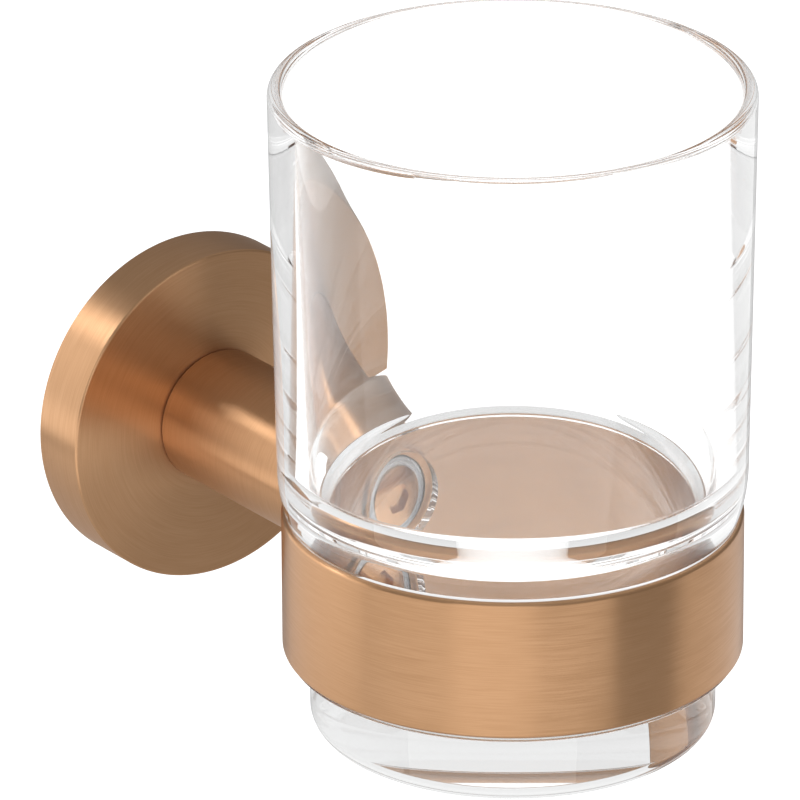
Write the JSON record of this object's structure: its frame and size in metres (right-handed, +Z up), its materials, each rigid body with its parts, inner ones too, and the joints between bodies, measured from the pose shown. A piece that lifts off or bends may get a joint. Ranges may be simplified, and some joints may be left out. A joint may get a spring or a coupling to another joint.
{
  "type": "wall-mounted tumbler holder",
  "caption": "Wall-mounted bathroom tumbler holder: round flange cover on a hidden bracket, round arm, ring band with clear liner, and a stepped clear glass tumbler that lifts out.",
  "frame": {"origin": "middle of the wall bracket's back face, where it bears on the wall", "axes": "+Y into the wall, -Y out along the arm, +Z up, the ring and tumbler upright"},
  "size_m": [0.0688, 0.1153, 0.1005],
  "materials": {
    "rose_metal": "brushed rose-gold coating on brass",
    "steel": "plain stainless fastener",
    "zinc": "bare die-cast zinc",
    "clear_plastic": "clear moulded plastic",
    "glass": "clear polished glass"
  },
  "bodies": {
    "wall_mount": {"wall_bracket": "zinc"},
    "holder": {"flange_cover": "rose_metal", "arm": "rose_metal", "arm_screw": "steel", "arm_lock_washer": "steel", "locating_pin": "steel", "ring_band": "rose_metal", "ring_screw": "rose_metal", "ring_screw_washer": "steel", "ring_liner": "clear_plastic"},
    "set_screw": {"set_screw": "steel"},
    "tumbler": {"glass_tumbler": "glass"}
  },
  "joints": [
    {"name": "holder_pull_off", "type": "slide", "parent": "wall_mount", "child": "holder", "axis": [0, -1, 0], "range_m": [0, 0.025]},
    {"name": "set_screw_travel", "type": "slide", "parent": "holder", "child": "set_screw", "axis": [0, 0, -1], "range_m": [0, 0.003]},
    {"name": "tumbler_lift", "type": "slide", "parent": "holder", "child": "tumbler", "axis": [0, 0, 1], "range_m": [0, 0.06]}
  ]
}
